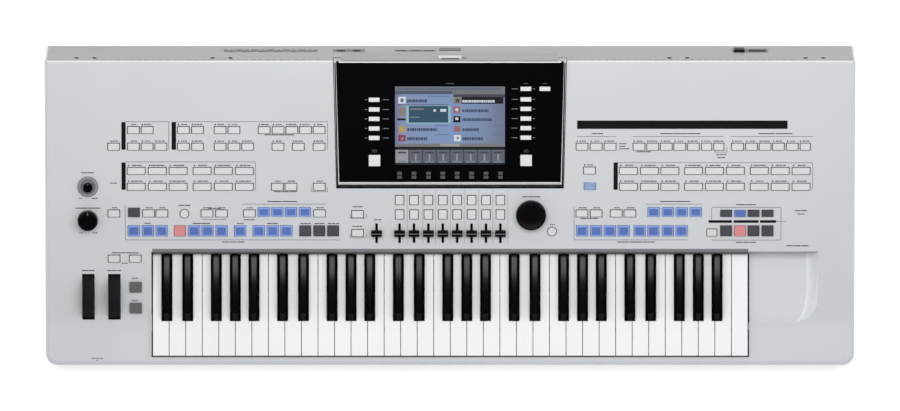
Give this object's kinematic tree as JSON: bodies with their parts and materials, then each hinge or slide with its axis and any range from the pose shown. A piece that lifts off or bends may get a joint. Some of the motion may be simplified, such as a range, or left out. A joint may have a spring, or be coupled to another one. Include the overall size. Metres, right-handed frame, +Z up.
{
  "type": "arranger keyboard",
  "caption": "Arranger keyboard: a sloping case with hinged piano keys, a tilting display, sprung buttons and pads, faders, a dial, knobs, two wheels and rear sockets.",
  "frame": {"origin": "under the middle of the case, on the surface its feet stand on", "axes": "+X to the player's right, +Y to the back, +Z up"},
  "size_m": [1.14, 0.45, 0.1402],
  "materials": {
    "case_silver": "satin",
    "case_dark": "fine texture",
    "rear_grey": "satin",
    "white_key": "gloss",
    "black_key": "satin",
    "steel": "brushed",
    "board": "satin",
    "felt": "felt",
    "white_button": "satin",
    "blue_pad": "satin",
    "grey_pad": "satin",
    "red_pad": "satin",
    "black_plastic": "satin",
    "gloss_black": "gloss",
    "chrome_trim": "polished",
    "screen": "gloss",
    "rubber": "matte",
    "dish_grey": "satin"
  },
  "bodies": {
    "case": {"lower_case": "case_dark", "top_panel": "case_silver", "rear_panel": "rear_grey", "key_chassis": "steel", "key_pivot_rod": "steel", "key_contact_board": "board", "key_felts": "felt", "main_board": "board", "power_supply": "steel", "panel_boards": "board", "panel_pots": "steel", "jack_sockets": "black_plastic", "data_sockets": "black_plastic", "wheel_holder": "black_plastic", "rubber_feet": "rubber", "case_screws": "steel", "gain_dish": "dish_grey", "display_hinges": "black_plastic"},
    "display": {"display_bezel": "gloss_black", "display_trim": "chrome_trim", "display_cover": "case_silver", "lcd_module": "screen"},
    "lock_lever": {"lock_lever": "white_button"},
    "display_keys": {"display_keys": "grey_pad"},
    "left_small_buttons": {"left_small_buttons": "white_button"},
    "style_buttons": {"style_buttons": "white_button"},
    "voice_buttons": {"voice_buttons": "white_button"},
    "right_small_buttons": {"right_small_buttons": "white_button"},
    "style_pads": {"style_pads": "blue_pad"},
    "memory_pads": {"memory_pads": "blue_pad"},
    "grey_pads": {"grey_pads": "grey_pad"},
    "red_pads": {"red_pads": "red_pad"},
    "channel_buttons": {"channel_buttons": "white_button"},
    "fader_1": {"fader_1": "black_plastic"},
    "fader_2": {"fader_2": "black_plastic"},
    "fader_3": {"fader_3": "black_plastic"},
    "fader_4": {"fader_4": "black_plastic"},
    "fader_5": {"fader_5": "black_plastic"},
    "fader_6": {"fader_6": "black_plastic"},
    "fader_7": {"fader_7": "black_plastic"},
    "fader_8": {"fader_8": "black_plastic"},
    "fader_9": {"fader_9": "black_plastic"},
    "master_volume_knob": {"master_volume_knob": "black_plastic"},
    "mic_gain_knob": {"mic_gain_knob": "black_plastic"},
    "data_dial": {"data_dial": "black_plastic"},
    "pitch_wheel": {"pitch_wheel": "black_plastic"},
    "modulation_wheel": {"modulation_wheel": "black_plastic"},
    "power_switch": {"power_switch": "black_plastic"},
    "key_c": {"key_c": "white_key"},
    "key_c_sharp": {"key_c_sharp": "black_key"},
    "key_d": {"key_d": "white_key"},
    "key_d_sharp": {"key_d_sharp": "black_key"},
    "key_e": {"key_e": "white_key"},
    "key_f": {"key_f": "white_key"},
    "key_f_sharp": {"key_f_sharp": "black_key"},
    "key_g": {"key_g": "white_key"},
    "key_g_sharp": {"key_g_sharp": "black_key"},
    "key_a": {"key_a": "white_key"},
    "key_a_sharp": {"key_a_sharp": "black_key"},
    "key_b": {"key_b": "white_key"}
  },
  "joints": [
    {"name": "display_tilt", "type": "hinge", "parent": "case", "child": "display", "pos_m": [0, 0.03485, 0.09868], "axis": [1, 0, 0], "range_deg": [0, 60]},
    {"name": "lock_slide", "type": "slide", "parent": "display", "child": "lock_lever", "axis": [1, 0, 0], "range_m": [0, 0.006]},
    {"name": "display_keys_press", "type": "slide", "parent": "display", "child": "display_keys", "axis": [0, 0.1971, -0.9804], "range_m": [0, 0.0008], "stiffness_N_per_m": 1500, "springref_m": -0.001},
    {"name": "left_small_buttons_press", "type": "slide", "parent": "case", "child": "left_small_buttons", "axis": [0, 0.1971, -0.9804], "range_m": [0, 0.0015], "stiffness_N_per_m": 1500, "springref_m": -0.001},
    {"name": "style_buttons_press", "type": "slide", "parent": "case", "child": "style_buttons", "axis": [0, 0.1971, -0.9804], "range_m": [0, 0.0015], "stiffness_N_per_m": 1500, "springref_m": -0.001},
    {"name": "voice_buttons_press", "type": "slide", "parent": "case", "child": "voice_buttons", "axis": [0, 0.1971, -0.9804], "range_m": [0, 0.0015], "stiffness_N_per_m": 1500, "springref_m": -0.001},
    {"name": "right_small_buttons_press", "type": "slide", "parent": "case", "child": "right_small_buttons", "axis": [0, 0.1971, -0.9804], "range_m": [0, 0.0015], "stiffness_N_per_m": 1500, "springref_m": -0.001},
    {"name": "style_pads_press", "type": "slide", "parent": "case", "child": "style_pads", "axis": [0, 0.1971, -0.9804], "range_m": [0, 0.0015], "stiffness_N_per_m": 1500, "springref_m": -0.001},
    {"name": "memory_pads_press", "type": "slide", "parent": "case", "child": "memory_pads", "axis": [0, 0.1971, -0.9804], "range_m": [0, 0.0015], "stiffness_N_per_m": 1500, "springref_m": -0.001},
    {"name": "grey_pads_press", "type": "slide", "parent": "case", "child": "grey_pads", "axis": [0, 0.1971, -0.9804], "range_m": [0, 0.0015], "stiffness_N_per_m": 1500, "springref_m": -0.001},
    {"name": "red_pads_press", "type": "slide", "parent": "case", "child": "red_pads", "axis": [0, 0.1971, -0.9804], "range_m": [0, 0.0015], "stiffness_N_per_m": 1500, "springref_m": -0.001},
    {"name": "channel_buttons_press", "type": "slide", "parent": "case", "child": "channel_buttons", "axis": [0, 0.1971, -0.9804], "range_m": [0, 0.0015], "stiffness_N_per_m": 1500, "springref_m": -0.001},
    {"name": "fader_1_slide", "type": "slide", "parent": "case", "child": "fader_1", "axis": [0, 0.9804, 0.1971], "range_m": [-0.01, 0.01]},
    {"name": "fader_2_slide", "type": "slide", "parent": "case", "child": "fader_2", "axis": [0, 0.9804, 0.1971], "range_m": [-0.01, 0.01]},
    {"name": "fader_3_slide", "type": "slide", "parent": "case", "child": "fader_3", "axis": [0, 0.9804, 0.1971], "range_m": [-0.01, 0.01]},
    {"name": "fader_4_slide", "type": "slide", "parent": "case", "child": "fader_4", "axis": [0, 0.9804, 0.1971], "range_m": [-0.01, 0.01]},
    {"name": "fader_5_slide", "type": "slide", "parent": "case", "child": "fader_5", "axis": [0, 0.9804, 0.1971], "range_m": [-0.01, 0.01]},
    {"name": "fader_6_slide", "type": "slide", "parent": "case", "child": "fader_6", "axis": [0, 0.9804, 0.1971], "range_m": [-0.01, 0.01]},
    {"name": "fader_7_slide", "type": "slide", "parent": "case", "child": "fader_7", "axis": [0, 0.9804, 0.1971], "range_m": [-0.01, 0.01]},
    {"name": "fader_8_slide", "type": "slide", "parent": "case", "child": "fader_8", "axis": [0, 0.9804, 0.1971], "range_m": [-0.01, 0.01]},
    {"name": "fader_9_slide", "type": "slide", "parent": "case", "child": "fader_9", "axis": [0, 0.9804, 0.1971], "range_m": [-0.01, 0.01]},
    {"name": "master_volume_turn", "type": "hinge", "parent": "case", "child": "master_volume_knob", "pos_m": [-0.5099, -0.02026, 0.0931], "axis": [0, -0.1971, 0.9804], "range_deg": [-150, 150]},
    {"name": "mic_gain_turn", "type": "hinge", "parent": "case", "child": "mic_gain_knob", "pos_m": [-0.50962, 0.02646, 0.1025], "axis": [0, -0.1971, 0.9804], "range_deg": [-150, 150]},
    {"name": "data_dial_turn", "type": "hinge", "parent": "case", "child": "data_dial", "pos_m": [0.11407, -0.01321, 0.09452], "axis": [0, -0.1971, 0.9804], "continuous": true},
    {"name": "pitch_bend", "type": "hinge", "parent": "case", "child": "pitch_wheel", "pos_m": [-0.50948, -0.12481, 0.05168], "axis": [1, 0, 0], "range_deg": [-45, 45], "stiffness_Nm_per_rad": 0.2},
    {"name": "modulation_turn", "type": "hinge", "parent": "case", "child": "modulation_wheel", "pos_m": [-0.47288, -0.12481, 0.05168], "axis": [1, 0, 0], "range_deg": [-45, 45]},
    {"name": "power_rock", "type": "hinge", "parent": "case", "child": "power_switch", "pos_m": [0.4078, 0.21429, 0.06252], "axis": [1, 0, 0], "range_deg": [-9, 9]},
    {"name": "key_c_press", "type": "hinge", "parent": "case", "child": "key_c", "pos_m": [0, 0.002, 0.058], "axis": [1, 0, 0], "range_deg": [0, 2.6], "stiffness_Nm_per_rad": 4, "springref_deg": -6.88},
    {"name": "key_c_sharp_press", "type": "hinge", "parent": "case", "child": "key_c_sharp", "pos_m": [0, 0.002, 0.058], "axis": [1, 0, 0], "range_deg": [0, 3], "stiffness_Nm_per_rad": 4, "springref_deg": -6.88},
    {"name": "key_d_press", "type": "hinge", "parent": "case", "child": "key_d", "pos_m": [0, 0.002, 0.058], "axis": [1, 0, 0], "range_deg": [0, 2.6], "stiffness_Nm_per_rad": 4, "springref_deg": -6.88},
    {"name": "key_d_sharp_press", "type": "hinge", "parent": "case", "child": "key_d_sharp", "pos_m": [0, 0.002, 0.058], "axis": [1, 0, 0], "range_deg": [0, 3], "stiffness_Nm_per_rad": 4, "springref_deg": -6.88},
    {"name": "key_e_press", "type": "hinge", "parent": "case", "child": "key_e", "pos_m": [0, 0.002, 0.058], "axis": [1, 0, 0], "range_deg": [0, 2.6], "stiffness_Nm_per_rad": 4, "springref_deg": -6.88},
    {"name": "key_f_press", "type": "hinge", "parent": "case", "child": "key_f", "pos_m": [0, 0.002, 0.058], "axis": [1, 0, 0], "range_deg": [0, 2.6], "stiffness_Nm_per_rad": 4, "springref_deg": -6.88},
    {"name": "key_f_sharp_press", "type": "hinge", "parent": "case", "child": "key_f_sharp", "pos_m": [0, 0.002, 0.058], "axis": [1, 0, 0], "range_deg": [0, 3], "stiffness_Nm_per_rad": 4, "springref_deg": -6.88},
    {"name": "key_g_press", "type": "hinge", "parent": "case", "child": "key_g", "pos_m": [0, 0.002, 0.058], "axis": [1, 0, 0], "range_deg": [0, 2.6], "stiffness_Nm_per_rad": 4, "springref_deg": -6.88},
    {"name": "key_g_sharp_press", "type": "hinge", "parent": "case", "child": "key_g_sharp", "pos_m": [0, 0.002, 0.058], "axis": [1, 0, 0], "range_deg": [0, 3], "stiffness_Nm_per_rad": 4, "springref_deg": -6.88},
    {"name": "key_a_press", "type": "hinge", "parent": "case", "child": "key_a", "pos_m": [0, 0.002, 0.058], "axis": [1, 0, 0], "range_deg": [0, 2.6], "stiffness_Nm_per_rad": 4, "springref_deg": -6.88},
    {"name": "key_a_sharp_press", "type": "hinge", "parent": "case", "child": "key_a_sharp", "pos_m": [0, 0.002, 0.058], "axis": [1, 0, 0], "range_deg": [0, 3], "stiffness_Nm_per_rad": 4, "springref_deg": -6.88},
    {"name": "key_b_press", "type": "hinge", "parent": "case", "child": "key_b", "pos_m": [0, 0.002, 0.058], "axis": [1, 0, 0], "range_deg": [0, 2.6], "stiffness_Nm_per_rad": 4, "springref_deg": -6.88}
  ]
}
